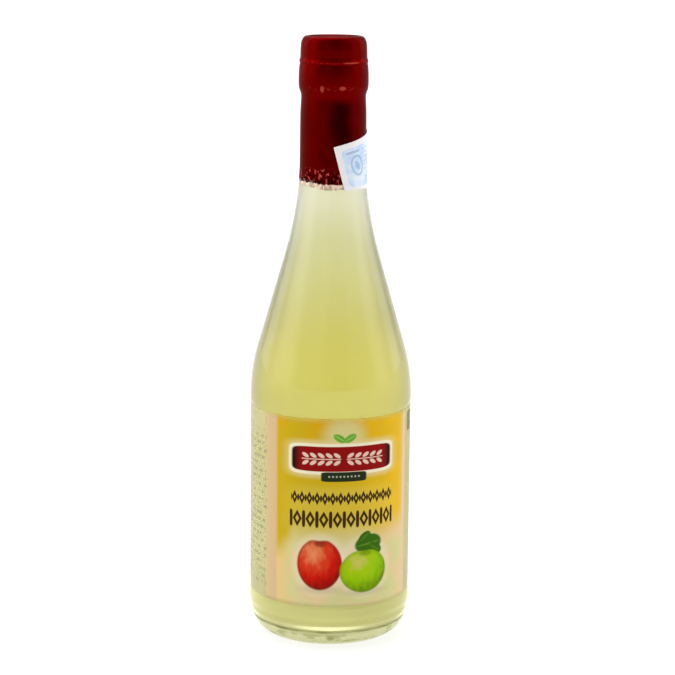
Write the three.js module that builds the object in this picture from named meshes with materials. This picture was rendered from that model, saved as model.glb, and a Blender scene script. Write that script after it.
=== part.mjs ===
// Vinegar bottle: slender glass bottle of the half litre size with its vinegar, a red capsule
// over the closure, a wrap-around label and a small tilted sticker on the neck.
// Millimetres, +Z up, origin at the centre of the base, front of the label towards -Y.
import * as THREE from 'three';

// overall
const bottleHeight = 260;
const bodyRadius = 35;
const gap = 0.3;
const roundSteps = 60;

// base and heel of the glass
const pushUpHeight = 2.6;
const bearingInnerRadius = 22;
const bearingOuterRadius = 24.6;
const heelRadius = 34.25;
const heelHeight = 12.5;
const heelPower = 2.15;
const heelRingHeight = 15.5;
const floorRadius = 22.5;
const floorEdgeHeight = 6.2;
const floorCentreHeight = 7.4;
const innerHeelTop = 18;

// recessed panel that carries the label
const panelRadius = 34.35;
const panelBottom = 19;
const panelTop = 102.4;
const panelEdge = 0.6;

// shoulder, a cone with a round above and below it
const coneAngle = THREE.MathUtils.degToRad(16.2);
const coneCorner = 116.5;
const shoulderRound = 80;
const neckRadius = 13.9;
const neckRound = 160;

// wall at the shoulder, and the neck inside the capsule
const wall = 2.65;
const neckStep = 196.9;
const neckLowRadius = 13.4;
const neckHighRadius = 12.5;
const neckNarrow = 229;
const mouthHeight = 256.8;
const lipRound = 1;
const neckBore = 10.2;

// vinegar
const fillLevel = 203;

// capsule, its outline from the crimped lower edge to the top
const capsuleEdge = 197.6;
const capsuleSteps = 66;
const capsuleOutline = [
  [capsuleEdge, 14.5],
  [199.4, 14.45],
  [201.6, 14.35],
  [206, 14.25],
  [226, 14.12],
  [230, 14],
  [233, 13.85],
  [234.8, 13.82],
  [236.6, 14.2],
  [238, 14.7],
  [240.4, 14.92],
  [244.5, 14.86],
  [247.6, 14.6],
  [248.4, 14.42],
  [249.4, 14.66],
  [250.6, 14.36],
  [254.6, 14.2],
];
const capRoundHeight = 4.4;
const capRoundDepth = 2.5;
const capCeiling = 257.2;
const capBoreRadius = 12.85;
const edgeRagged = 0.55;
const crimpDepth = 0.16;
const crimpCount = 18;
const crimpTop = 204;

// wrap-around label
const labelThickness = 0.3;
const labelBottom = 19.4;
const labelTop = 102;

// sticker on the neck, measured along its own sides, its lower edge nearly level
const stickerWidth = 28;
const stickerHeight = 19;
const stickerTilt = THREE.MathUtils.degToRad(14.5);
const stickerLevel = 0.34;
const stickerCorner = { turn: THREE.MathUtils.degToRad(1), height: 214.2 };
const stickerThickness = 0.3;
const stickerRadius = 14.3;
const stickerColumns = 14;
const stickerRows = 5;

const finishes = {
  clearGlass: { color: 0xdfe6dc, roughness: 0.05, metalness: 0 },
  vinegar: { color: 0xd9d28a, roughness: 0.1, metalness: 0 },
  capsule: { color: 0x8c0a06, roughness: 0.25, metalness: 0 },
  label: { color: 0xd8ac22, roughness: 0.45, metalness: 0 },
  sticker: { color: 0xd6e0f2, roughness: 0.5, metalness: 0 },
};

const point = (radius, height) => new THREE.Vector2(radius, height);

// heights from one to another in equal steps, both ends included
function spread(from, to, steps) {
  const heights = [];
  for (let i = 0; i <= steps; i += 1) heights.push(from + ((to - from) * i) / steps);
  return heights;
}

// where the rounds of the shoulder and the neck start and end
const shoulderTangent = shoulderRound * Math.tan(coneAngle / 2);
const shoulderStart = coneCorner - shoulderTangent;
const shoulderEnd = coneCorner + shoulderTangent * Math.cos(coneAngle);
const neckCorner = coneCorner + (bodyRadius - neckRadius) / Math.tan(coneAngle);
const neckTangent = neckRound * Math.tan(coneAngle / 2);
const neckStart = neckCorner - neckTangent * Math.cos(coneAngle);
const neckEnd = neckCorner + neckTangent;

// outer radius of the plain glass above the heel, without the label panel
function glassRadius(height) {
  if (height <= shoulderStart) return bodyRadius;
  if (height <= shoulderEnd) {
    const rise = height - shoulderStart;
    return bodyRadius - shoulderRound + Math.sqrt(shoulderRound ** 2 - rise ** 2);
  }
  if (height <= neckStart) return bodyRadius - (height - coneCorner) * Math.tan(coneAngle);
  if (height <= neckEnd) {
    const drop = neckEnd - height;
    return neckRadius + neckRound - Math.sqrt(neckRound ** 2 - drop ** 2);
  }
  return neckRadius;
}

// bulged corner between a flat floor and an upright wall, like a squared ellipse
function heelCurve(fromRadius, toRadius, fromHeight, toHeight, steps) {
  const points = [];
  for (let i = 0; i <= steps; i += 1) {
    const turn = (i / steps) * (Math.PI / 2);
    const out = Math.sin(turn) ** (2 / heelPower);
    const up = 1 - Math.cos(turn) ** (2 / heelPower);
    points.push(point(fromRadius + (toRadius - fromRadius) * out, fromHeight + (toHeight - fromHeight) * up));
  }
  return points;
}

// shallow dome from the axis out to a radius
function dome(centreHeight, edgeHeight, edgeRadius, steps) {
  const points = [];
  for (let i = 0; i <= steps; i += 1) {
    const share = i / steps;
    points.push(point(edgeRadius * share, centreHeight + (edgeHeight - centreHeight) * share ** 2));
  }
  return points;
}

// inside of the glass, or a surface that stays a given distance clear of it
function innerOutline(clear, topHeight) {
  const floorEdge = floorEdgeHeight + clear;
  const points = [
    ...dome(floorCentreHeight + clear, floorEdge, floorRadius - clear - 1, 3),
    ...heelCurve(floorRadius - clear, bodyRadius - wall - clear, floorEdge, innerHeelTop + clear, 6),
  ];
  const thicker = neckRadius - wall - neckBore;
  for (const height of [...spread(shoulderStart, shoulderEnd, 4), ...spread(neckStart, neckEnd, 6)]) {
    const share = THREE.MathUtils.clamp((height - neckStart) / (neckEnd - neckStart), 0, 1);
    const radius = glassRadius(height) - wall - share * thicker - clear;
    if (height < topHeight) points.push(point(radius, height));
  }
  points.push(point(neckBore - clear, topHeight));
  return points;
}

function turned(points, steps = roundSteps) {
  const geometry = new THREE.LatheGeometry(points, steps);
  geometry.rotateX(Math.PI / 2);
  return geometry;
}

// glass: domed underside, bearing ring, heel, panel, shoulder, neck, mouth, then back inside
function glassGeometry() {
  const outside = [
    ...dome(pushUpHeight, 0.5, bearingInnerRadius - 1.5, 3),
    point(bearingInnerRadius, 0),
    ...heelCurve(bearingOuterRadius, heelRadius, 0, heelHeight, 6),
    point(bodyRadius - 0.35, heelRingHeight - 1.5),
    point(bodyRadius, heelRingHeight),
    point(bodyRadius, panelBottom - panelEdge),
    point(panelRadius, panelBottom),
    point(panelRadius, panelTop),
    point(bodyRadius, panelTop + panelEdge),
    ...spread(shoulderStart, shoulderEnd, 5).map((height) => point(glassRadius(height), height)),
    ...spread(neckStart, neckStep - 0.7, 5).map((height) => point(glassRadius(height), height)),
    point(neckLowRadius, neckStep),
    point(neckHighRadius, neckNarrow),
    point(neckHighRadius, mouthHeight - lipRound),
    point(neckHighRadius - lipRound * 0.3, mouthHeight - lipRound * 0.3),
    point(neckHighRadius - lipRound, mouthHeight),
  ];
  const inside = innerOutline(0, mouthHeight - lipRound);
  inside.push(point(neckBore + lipRound * 0.5, mouthHeight));
  return turned([...outside, ...inside.reverse()]);
}

function vinegarGeometry() {
  return turned([...innerOutline(gap, fillLevel), point(0, fillLevel)]);
}

// capsule: crimped and ragged lower edge, waist, bead, ridge, rounded top, and the bore below
function capsuleGeometry() {
  const outside = capsuleOutline.map(([height, radius]) => point(radius, height));
  const [shoulderHeight, shoulderRadius] = capsuleOutline.at(-1);
  const roundFrom = bottleHeight - capRoundHeight;
  outside.push(point(shoulderRadius - 0.1, roundFrom));
  for (let i = 1; i <= 4; i += 1) {
    const turn = (i / 4) * (Math.PI / 2);
    const radius = shoulderRadius - 0.1 - capRoundDepth * (1 - Math.cos(turn));
    outside.push(point(radius, roundFrom + capRoundHeight * Math.sin(turn)));
  }
  const inside = [
    point(neckLowRadius + gap + 0.3, capsuleEdge),
    point(neckLowRadius + gap, capsuleEdge + 2),
    point(capBoreRadius, neckNarrow),
    point(capBoreRadius, capCeiling),
  ];
  const geometry = turned(
    [point(0, capCeiling), ...inside.reverse(), ...outside, point(0, bottleHeight)],
    capsuleSteps,
  );
  crimp(geometry);
  return geometry;
}

// pleats and a ragged hem near the capsule's lower edge, none above the crimped band
function crimp(geometry) {
  const place = geometry.attributes.position;
  for (let i = 0; i < place.count; i += 1) {
    const x = place.getX(i);
    const y = place.getY(i);
    const z = place.getZ(i);
    const turn = Math.atan2(y, x);
    const fade = THREE.MathUtils.clamp((crimpTop - z) / (crimpTop - capsuleEdge), 0, 1);
    const ragged = Math.sin(3 * turn + 1.1) + 0.6 * Math.sin(7 * turn + 0.4) + 0.4 * Math.sin(11 * turn);
    const radius = Math.hypot(x, y);
    const scale = radius > 0 ? 1 + (crimpDepth * fade * Math.sin(crimpCount * turn)) / radius : 1;
    place.setXYZ(i, x * scale, y * scale, z + edgeRagged * fade ** 3 * ragged * 0.5);
  }
}

function labelGeometry() {
  const inner = panelRadius + gap;
  const outer = inner + labelThickness;
  return turned([
    point(inner, labelBottom),
    point(outer, labelBottom),
    point(outer, labelTop),
    point(inner, labelTop),
    point(inner, labelBottom),
  ]);
}

// radius of what the sticker lies on, the capsule or the glass below its edge
function coverRadius(height) {
  const last = capsuleOutline.length - 1;
  if (height < capsuleEdge) return Math.max(glassRadius(height), capsuleOutline[0][1] + crimpDepth);
  for (let i = 0; i < last; i += 1) {
    const [lowHeight, lowRadius] = capsuleOutline[i];
    const [highHeight, highRadius] = capsuleOutline[i + 1];
    if (height <= highHeight) {
      const share = (height - lowHeight) / (highHeight - lowHeight);
      const fade = THREE.MathUtils.clamp((crimpTop - height) / (crimpTop - capsuleEdge), 0, 1);
      return lowRadius + (highRadius - lowRadius) * share + crimpDepth * fade;
    }
  }
  return capsuleOutline[last][1];
}

// thin curved patch bent round the neck, its corners tilted, closed along its four sides
function stickerGeometry() {
  const cos = Math.cos(stickerTilt);
  const sin = Math.sin(stickerTilt);
  const positions = [];
  const across = stickerColumns + 1;
  for (const lift of [gap, gap + stickerThickness]) {
    for (let row = 0; row <= stickerRows; row += 1) {
      for (let column = 0; column <= stickerColumns; column += 1) {
        const along = (column / stickerColumns) * stickerWidth;
        const down = (row / stickerRows) * stickerHeight;
        const turn = stickerCorner.turn + (along * cos + down * sin) / stickerRadius;
        const drop = down * (cos + (stickerLevel * along) / stickerWidth);
        const height = stickerCorner.height + along * sin - drop;
        const radius = coverRadius(height) + lift;
        positions.push(radius * Math.sin(turn), -radius * Math.cos(turn), height);
      }
    }
  }
  const layer = across * (stickerRows + 1);
  const at = (side, row, column) => side * layer + row * across + column;
  const faces = [];
  const quad = (a, b, c, d) => faces.push(a, b, c, a, c, d);
  for (let row = 0; row < stickerRows; row += 1) {
    for (let column = 0; column < stickerColumns; column += 1) {
      quad(at(1, row + 1, column), at(1, row + 1, column + 1), at(1, row, column + 1), at(1, row, column));
      quad(at(0, row, column), at(0, row, column + 1), at(0, row + 1, column + 1), at(0, row + 1, column));
    }
  }
  for (let column = 0; column < stickerColumns; column += 1) {
    const bottom = stickerRows;
    quad(at(1, 0, column), at(1, 0, column + 1), at(0, 0, column + 1), at(0, 0, column));
    quad(at(0, bottom, column), at(0, bottom, column + 1), at(1, bottom, column + 1), at(1, bottom, column));
  }
  for (let row = 0; row < stickerRows; row += 1) {
    const right = stickerColumns;
    quad(at(0, row, 0), at(0, row + 1, 0), at(1, row + 1, 0), at(1, row, 0));
    quad(at(1, row, right), at(1, row + 1, right), at(0, row + 1, right), at(0, row, right));
  }
  const geometry = new THREE.BufferGeometry();
  geometry.setAttribute('position', new THREE.Float32BufferAttribute(positions, 3));
  geometry.setIndex(faces);
  geometry.computeVertexNormals();
  return geometry;
}

function piece(name, geometry, finish) {
  const mesh = new THREE.Mesh(geometry, new THREE.MeshStandardMaterial(finish));
  mesh.name = name;
  return mesh;
}

const bottle = new THREE.Group();
bottle.name = 'vinegar_bottle';
bottle.add(piece('glass_bottle', glassGeometry(), finishes.clearGlass));
bottle.add(piece('vinegar', vinegarGeometry(), finishes.vinegar));
bottle.add(piece('capsule', capsuleGeometry(), finishes.capsule));
bottle.add(piece('wrap_label', labelGeometry(), finishes.label));
bottle.add(piece('neck_sticker', stickerGeometry(), finishes.sticker));

export default bottle;
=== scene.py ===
import math

import bpy
from mathutils import Euler, Matrix, Vector, noise


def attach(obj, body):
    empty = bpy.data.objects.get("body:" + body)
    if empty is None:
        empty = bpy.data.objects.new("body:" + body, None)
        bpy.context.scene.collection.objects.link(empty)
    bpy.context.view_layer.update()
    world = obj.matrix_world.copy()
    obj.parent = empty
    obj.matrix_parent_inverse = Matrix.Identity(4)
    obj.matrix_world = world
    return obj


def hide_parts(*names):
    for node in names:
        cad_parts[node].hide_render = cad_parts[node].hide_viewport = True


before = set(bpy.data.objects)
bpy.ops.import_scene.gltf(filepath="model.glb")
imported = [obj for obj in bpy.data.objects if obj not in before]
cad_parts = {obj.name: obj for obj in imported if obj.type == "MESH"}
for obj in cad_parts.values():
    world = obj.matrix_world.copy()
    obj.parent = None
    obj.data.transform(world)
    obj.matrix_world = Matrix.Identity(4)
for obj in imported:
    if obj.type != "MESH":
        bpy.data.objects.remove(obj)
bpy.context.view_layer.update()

# Vinegar bottle: clear glass, pale vinegar, red capsule, wrap-around label, tilted neck sticker.
# Metres, +Z up, the front of the bottle faces -Y.
mm = 0.001
usualSharpAngle = math.radians(40)


# shader helpers: values take part in plain arithmetic, everything else comes from node()
class Flow:
    def __init__(self, kit, socket):
        self.kit = kit
        self.socket = socket

    def __add__(self, other):
        return self.kit.maths("ADD", self, other)

    def __radd__(self, other):
        return self.kit.maths("ADD", other, self)

    def __sub__(self, other):
        return self.kit.maths("SUBTRACT", self, other)

    def __rsub__(self, other):
        return self.kit.maths("SUBTRACT", other, self)

    def __mul__(self, other):
        return self.kit.maths("MULTIPLY", self, other)

    def __rmul__(self, other):
        return self.kit.maths("MULTIPLY", other, self)

    def __pow__(self, other):
        return self.kit.maths("POWER", self, other)

    def __abs__(self):
        return self.kit.maths("ABSOLUTE", self)


class Graph:
    def __init__(self, tree):
        self.nodes = tree.nodes
        self.links = tree.links

    # one node of any type: its settings first, then the values or links of its inputs
    def node(self, kind, settings=None, inputs=None, output=0):
        made = self.nodes.new(kind)
        for name, value in (settings or {}).items():
            if name == "stops":
                ramp = made.color_ramp
                while len(ramp.elements) < len(value):
                    ramp.elements.new(0.5)
                for element, (place, colour) in zip(ramp.elements, value):
                    element.position = place
                    element.color = (*colour, 1)
            else:
                setattr(made, name, value)
        for name, value in (inputs or {}).items():
            socket = made.inputs[name]
            if isinstance(value, Flow):
                self.links.new(value.socket, socket)
            elif socket.type == "RGBA" and len(value) == 3:
                socket.default_value = (*value, 1)
            else:
                socket.default_value = value
        return Flow(self, made.outputs[output])

    def maths(self, operation, *operands):
        return self.node("ShaderNodeMath", {"operation": operation}, dict(enumerate(operands)))

    # the highest of several values
    def most(self, highest, *others):
        for other in others:
            highest = self.maths("MAXIMUM", highest, other)
        return highest

    def blend(self, share, first, second):
        return self.node("ShaderNodeMix", {"data_type": "RGBA"}, {0: share, 6: first, 7: second}, 2)

    # 0 below the edge, 1 above it, soft across a width
    def rise(self, value, edge, soft):
        settings = {"interpolation_type": "SMOOTHSTEP"}
        return self.node("ShaderNodeMapRange", settings, {0: value, 1: edge - soft / 2, 2: edge + soft / 2})

    def between(self, value, low, high, soft):
        return self.rise(value, low, soft) * (1 - self.rise(value, high, soft))

    def ramp(self, value, stops):
        return self.node("ShaderNodeValToRGB", {"stops": stops}, {0: value})

    def parts(self, vector):
        first = self.node("ShaderNodeSeparateXYZ", inputs={0: vector})
        outputs = first.socket.node.outputs
        return [Flow(self, outputs[i]) for i in range(3)]

    def joined(self, x, y, z=0.0):
        return self.node("ShaderNodeCombineXYZ", inputs={0: x, 1: y, 2: z})

    def cloud(self, vector, scale, detail):
        inputs = {"Vector": vector, "Scale": scale, "Detail": detail, "Roughness": 0.55}
        return self.node("ShaderNodeTexNoise", inputs=inputs)

    # soft-edged filled shapes on a flat plan, sizes in the plan's units
    def oval(self, across, up, centre, size, soft=0.15, lean=0.0):
        x = across - centre[0]
        y = up - centre[1]
        if lean:
            cos, sin = math.cos(lean), math.sin(lean)
            x, y = x * cos + y * sin, y * cos - x * sin
        away = ((x * (1 / size[0])) ** 2 + (y * (1 / size[1])) ** 2) ** 0.5
        return 1 - self.rise(away, 1.0, soft)

    def plate(self, across, up, centre, half, soft=0.08, power=8):
        x = abs((across - centre[0]) * (1 / half[0])) ** power
        y = abs((up - centre[1]) * (1 / half[1])) ** power
        return 1 - self.rise((x + y) ** (1 / power), 1.0, soft)

    def lozenge(self, across, up, centre, half, soft=0.2):
        away = abs((across - centre[0]) * (1 / half[0])) + abs((up - centre[1]) * (1 / half[1]))
        return 1 - self.rise(away, 1.0, soft)

    # place inside one cell of a repeated row, measured from the cell's middle
    def cell(self, value, start, pitch):
        along = (value - start) * (1 / pitch)
        return (self.maths("FRACT", along) - 0.5) * pitch


class Finish(Graph):
    def __init__(self, name, **fixed):
        self.material = bpy.data.materials.new(name)
        self.material.use_nodes = True
        super().__init__(self.material.node_tree)
        self.surface = self.nodes["Principled BSDF"]
        self.end = self.nodes["Material Output"]
        for socketName, value in fixed.items():
            self.surface.inputs[socketName.replace("_", " ")].default_value = value

    def feed(self, socketName, value):
        self.links.new(value.socket, self.surface.inputs[socketName])

    def place(self):
        return self.node("ShaderNodeTexCoord", output="Object")

    def bumped(self, height, strength, distance):
        inputs = {"Strength": strength, "Distance": distance, "Height": height}
        self.feed("Normal", self.node("ShaderNodeBump", inputs=inputs))

    # colour that the inside takes from the light on its way through
    def tinted(self, colour, density):
        tint = self.node("ShaderNodeVolumeAbsorption", inputs={"Color": colour, "Density": density})
        self.links.new(tint.socket, self.end.inputs["Volume"])

    # a second surface over the first one, by a share, with a little light of its own
    def overlaid(self, share, tone, roughness, glow, glowStrength):
        inputs = {"Base Color": tone, "Roughness": roughness, "Specular IOR Level": 0.2}
        inputs.update({"Emission Color": glow, "Emission Strength": glowStrength})
        second = self.node("ShaderNodeBsdfPrincipled", inputs=inputs)
        first = Flow(self, self.surface.outputs[0])
        both = self.node("ShaderNodeMixShader", inputs={0: share, 1: first, 2: second})
        self.links.new(both.socket, self.end.inputs["Surface"])

    # distance round a cylinder and height, both in millimetres, from the front line
    def wrapped(self, radius):
        x, y, z = self.parts(self.place())
        turn = self.maths("ARCTAN2", x, y * -1)
        return turn * (radius / mm), z * (1 / mm)


# mesh helpers
def makeMesh(name, points, faces, sharpAngle=usualSharpAngle):
    mesh = bpy.data.meshes.new(name)
    mesh.from_pydata(points, [], faces)
    mesh.validate()
    mesh.update()
    for face in mesh.polygons:
        face.use_smooth = True
    mesh.set_sharp_from_angle(angle=sharpAngle)
    piece = bpy.data.objects.new(name, mesh)
    bpy.context.scene.collection.objects.link(piece)
    return piece


# point at a radius, a turn from the front and a height
def roundPoint(radius, turn, height):
    return (radius * math.sin(turn), -radius * math.cos(turn), height)


# closed body of revolution from (radius, height) points that start and end on the axis
def turnedPiece(name, outline, steps, shape=None, sharpAngle=usualSharpAngle):
    points = []
    rings = []
    for radius, height in outline:
        if radius == 0:
            rings.append([len(points)])
            points.append((0, 0, height))
            continue
        ring = []
        for i in range(steps):
            turn = 2 * math.pi * i / steps
            r, h = shape(radius, height, turn) if shape else (radius, height)
            ring.append(len(points))
            points.append(roundPoint(r, turn, h))
        rings.append(ring)
    faces = []
    for low, high in zip(rings, rings[1:]):
        for i in range(steps):
            j = (i + 1) % steps
            if len(low) == 1:
                faces.append((low[0], high[j], high[i]))
            elif len(high) == 1:
                faces.append((low[i], low[j], high[0]))
            else:
                faces.append((low[i], low[j], high[j], high[i]))
    return makeMesh(name, points, faces, sharpAngle)


def spread(start, end, steps):
    return [start + (end - start) * i / steps for i in range(steps + 1)]


def limited(value):
    return min(max(value, 0), 1)


def finishPiece(piece, node, slot, *finishes):
    for finish in finishes:
        piece.data.materials.append(finish.material)
    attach(piece, "root")
    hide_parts(node)


# camera first: the angle and framing of the photograph
camera = {
    "distance": 0.927,
    "height": 0.309,
    "aside": 0.0027,
    "pitch": math.radians(10.92),
    "roll": math.radians(0.57),
    "lens": 116.1,
    "sensor": 36,
    "farEnd": 100,
}


def makeCamera(c):
    data = bpy.data.cameras.new("camera")
    data.lens = c["lens"]
    data.sensor_width = c["sensor"]
    data.clip_end = c["farEnd"]
    eye = bpy.data.objects.new("camera", data)
    bpy.context.scene.collection.objects.link(eye)
    place = Matrix.Translation((c["aside"], -c["distance"], c["height"]))
    look = Euler((math.pi / 2 - c["pitch"], 0, 0)).to_matrix().to_4x4()
    eye.matrix_world = place @ look @ Matrix.Rotation(c["roll"], 4, "Z")
    bpy.context.scene.camera = eye
    print("camera ready")


# pale floor, a wide soft sun and a sky that is dim behind the camera with soft brighter panels
studio = {
    "floorSize": 60,
    "floorTone": (0.24, 0.24, 0.24),
    "floorSpeck": (0.22, 0.22, 0.22),
    "speckScale": 40,
    "speckShare": 0.05,
    "floorRoughness": 0.75,
    "floorGlow": 0.78,
    "frontSky": 0.435,
    "backSky": 1.0,
    "skySoft": 1.5,
    "sunStrength": 1.5,
    "sunAngle": math.radians(70),
    "sunTilt": (math.radians(-14), math.radians(-12), 0),
    # turn from the camera's side, half width and softness in degrees, and strength, below 0 for a dark one
    "panels": [
        (-77, 18, 24, 0.95),
        (80, 12, 20, 0.8),
        (-118, 12, 12, 1.1),
        (116, 12, 12, 1.0),
        (10, 18, 18, -0.28),
    ],
    "panelTop": 0.85,
    "panelTopSoft": 0.3,
}


def makeStudio(s):
    half = s["floorSize"] / 2
    corners = [(-half, -half, 0), (half, -half, 0), (half, half, 0), (-half, half, 0)]
    floor = makeMesh("floor", corners, [(0, 1, 2, 3)])
    white = (1, 1, 1, 1)
    paint = Finish(
        "paleFloor", Roughness=s["floorRoughness"], Emission_Color=white, Emission_Strength=s["floorGlow"]
    )
    grain = paint.cloud(paint.place(), s["speckScale"], 3)
    paint.feed("Base Color", paint.blend(grain * s["speckShare"], s["floorTone"], s["floorSpeck"]))
    floor.data.materials.append(paint.material)
    world = bpy.data.worlds.new("studio")
    world.use_nodes = True
    sky = Graph(world.node_tree)
    x, y, z = sky.parts(sky.node("ShaderNodeTexCoord", output="Generated"))
    turn = sky.maths("ARCTAN2", x, y * -1) * (180 / math.pi)
    strength = s["frontSky"] + sky.rise(y, 0.0, s["skySoft"]) * (s["backSky"] - s["frontSky"])
    upper = 1 - sky.rise(z, s["panelTop"], s["panelTopSoft"])
    for middle, wide, soft, bright in s["panels"]:
        panel = 1 - sky.rise(abs(turn - middle), wide, soft)
        strength = strength + panel * upper * bright
    background = sky.nodes["Background"]
    background.inputs["Color"].default_value = white
    sky.links.new(strength.socket, background.inputs["Strength"])
    bpy.context.scene.world = world
    data = bpy.data.lights.new("softSun", "SUN")
    data.energy = s["sunStrength"]
    data.angle = s["sunAngle"]
    sun = bpy.data.objects.new("softSun", data)
    bpy.context.scene.collection.objects.link(sun)
    sun.rotation_euler = s["sunTilt"]
    bpy.context.scene.view_settings.view_transform = "Standard"
    print("studio ready")


# the glass, from the underside round the outside to the mouth and back down inside
bottle = {
    "bodyRadius": 35 * mm,
    "panelRadius": 34.65 * mm,
    "panelBottom": 18.9 * mm,
    "panelTop": 102.4 * mm,
    "panelEdge": 2.2 * mm,
    "pushUpHeight": 2.6 * mm,
    "pushUpEdge": 0.5 * mm,
    "bearingInner": 22 * mm,
    "bearingOuter": 24.6 * mm,
    "bearingRound": 0.15 * mm,
    "knurls": 48,
    "knurlHeight": 0.22 * mm,
    "heelRadius": 34.25 * mm,
    "heelHeight": 12.5 * mm,
    "heelPower": 2.15,
    "heelRing": 15.5 * mm,
    "coneAngle": math.radians(16.2),
    "coneCorner": 116.5 * mm,
    "shoulderRound": 80 * mm,
    "neckRadius": 13.9 * mm,
    "neckRound": 160 * mm,
    "neckShown": 200 * mm,
    "neckStep": (13.4 * mm, 201.5 * mm),
    "neckTop": 12.5 * mm,
    "neckNarrow": 229 * mm,
    "mouthHeight": 256.8 * mm,
    "lip": 1 * mm,
    "bore": 10.2 * mm,
    "wall": 2.65 * mm,
    "floorRadius": 22.5 * mm,
    "floorEdge": 6.2 * mm,
    "floorCentre": 7.4 * mm,
    "innerHeelTop": 18 * mm,
    "steps": 240,
    "seamTurn": math.radians(100),
    "seamHeight": 0.05 * mm,
    "seamWidth": 0.35 * mm,
    # slow waves of the inner wall: count round the bottle, turn for each metre up, start and share
    "waves": [(2, 40, 0, 1), (3, -90, 1, 0.5)],
    "waveDepth": 0.12 * mm,
    "waveStart": 12 * mm,
    "waveFade": 20 * mm,
    "insideTint": (0.2, 0.26, 0.0),
    "insideDensity": 8.0,
    "glassTint": (0.985, 0.99, 0.975),
    "baseCast": (0.97, 0.98, 0.80),
    "baseShadeTone": (0.33, 0.36, 0.03),
    "rippleScale": 28,
    "rippleDepth": 0.4 * mm,
    # painted shade and a dark spot in the base, heights and sizes in millimetres
    "frostTop": 2.4,
    "stippleScale": 900,
    "castTop": 9.0,
    "darkLine": (6.9, 7.9),
    "shadeBlotches": (2.0, 6.5),
    "darkSpot": (1.0, 4.6),
    "darkSpotSize": (1.8, 1.3),
    # the outside of the heel: frosting, a band of painted light and a painted highlight ring
    "heelOutside": 32.7,
    "paintedHighlightRing": (8.4, 10.2),
    "paintedLightBand": (7.8, 20.0),
    "frostedHeel": 7.2,
    "paintedLightTone": (1.0, 0.97, 0.36),
    "frostedTone": (0.96, 0.98, 0.58),
    "paintedHighlightTone": (1.0, 1.0, 0.70),
    "paintedRingGlow": (1.0, 0.96, 0.10),
    "paintedRingGlowStrength": 0.3,
    "heelRoughness": 0.3,
}


def coneMarks(b):
    tangent = b["shoulderRound"] * math.tan(b["coneAngle"] / 2)
    corner = b["coneCorner"] + (b["bodyRadius"] - b["neckRadius"]) / math.tan(b["coneAngle"])
    neckTangent = b["neckRound"] * math.tan(b["coneAngle"] / 2)
    return {
        "shoulderStart": b["coneCorner"] - tangent,
        "shoulderEnd": b["coneCorner"] + tangent * math.cos(b["coneAngle"]),
        "neckStart": corner - neckTangent * math.cos(b["coneAngle"]),
        "neckEnd": corner + neckTangent,
    }


def glassRadius(b, height):
    marks = coneMarks(b)
    if height <= marks["shoulderStart"]:
        return b["bodyRadius"]
    if height <= marks["shoulderEnd"]:
        climb = height - marks["shoulderStart"]
        return b["bodyRadius"] - b["shoulderRound"] + math.sqrt(b["shoulderRound"] ** 2 - climb ** 2)
    if height <= marks["neckStart"]:
        return b["bodyRadius"] - (height - b["coneCorner"]) * math.tan(b["coneAngle"])
    if height <= marks["neckEnd"]:
        drop = marks["neckEnd"] - height
        return b["neckRadius"] + b["neckRound"] - math.sqrt(b["neckRound"] ** 2 - drop ** 2)
    return b["neckRadius"]


# squared quarter ellipse from a flat floor out and up to an upright wall
def heelCurve(b, fromRadius, toRadius, fromHeight, toHeight, steps):
    points = []
    for i in range(steps + 1):
        turn = i / steps * math.pi / 2
        out = math.sin(turn) ** (2 / b["heelPower"])
        up = 1 - max(math.cos(turn), 0) ** (2 / b["heelPower"])
        points.append((fromRadius + (toRadius - fromRadius) * out, fromHeight + (toHeight - fromHeight) * up))
    return points


def dome(centre, edge, radius, steps):
    return [(radius * i / steps, centre + (edge - centre) * (i / steps) ** 2) for i in range(steps + 1)]


# from one radius to another over a short climb
def softStep(fromRadius, toRadius, fromHeight, climb):
    points = []
    for i in range(7):
        share = 0.5 - 0.5 * math.cos(math.pi * i / 6)
        points.append((fromRadius + (toRadius - fromRadius) * share, fromHeight + climb * i / 6))
    return points


# inner surface of the glass, or one that reaches a little further out into the wall
def innerOutline(b, reach, top):
    marks = coneMarks(b)
    edge = b["floorEdge"] - reach
    floorEnd = b["floorRadius"] + reach
    points = dome(b["floorCentre"] - reach, edge, floorEnd - 1 * mm, 8)
    points += heelCurve(b, floorEnd, b["bodyRadius"] - b["wall"] + reach, edge, b["innerHeelTop"] - reach, 20)
    thicker = b["neckRadius"] - b["wall"] - b["bore"]
    heights = spread(b["innerHeelTop"] + 2 * mm, marks["shoulderStart"], 16)
    heights += spread(marks["shoulderStart"], marks["neckStart"], 24)[1:]
    heights += spread(marks["neckStart"], marks["neckEnd"], 20)[1:]
    heights += spread(marks["neckEnd"], b["mouthHeight"], 10)[1:]
    for height in heights:
        share = limited((height - marks["neckStart"]) / (marks["neckEnd"] - marks["neckStart"]))
        if height < top - 0.5 * mm:
            points.append((glassRadius(b, height) - b["wall"] - share * thicker + reach, height))
    points.append((b["bore"] + reach, top))
    return points


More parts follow.
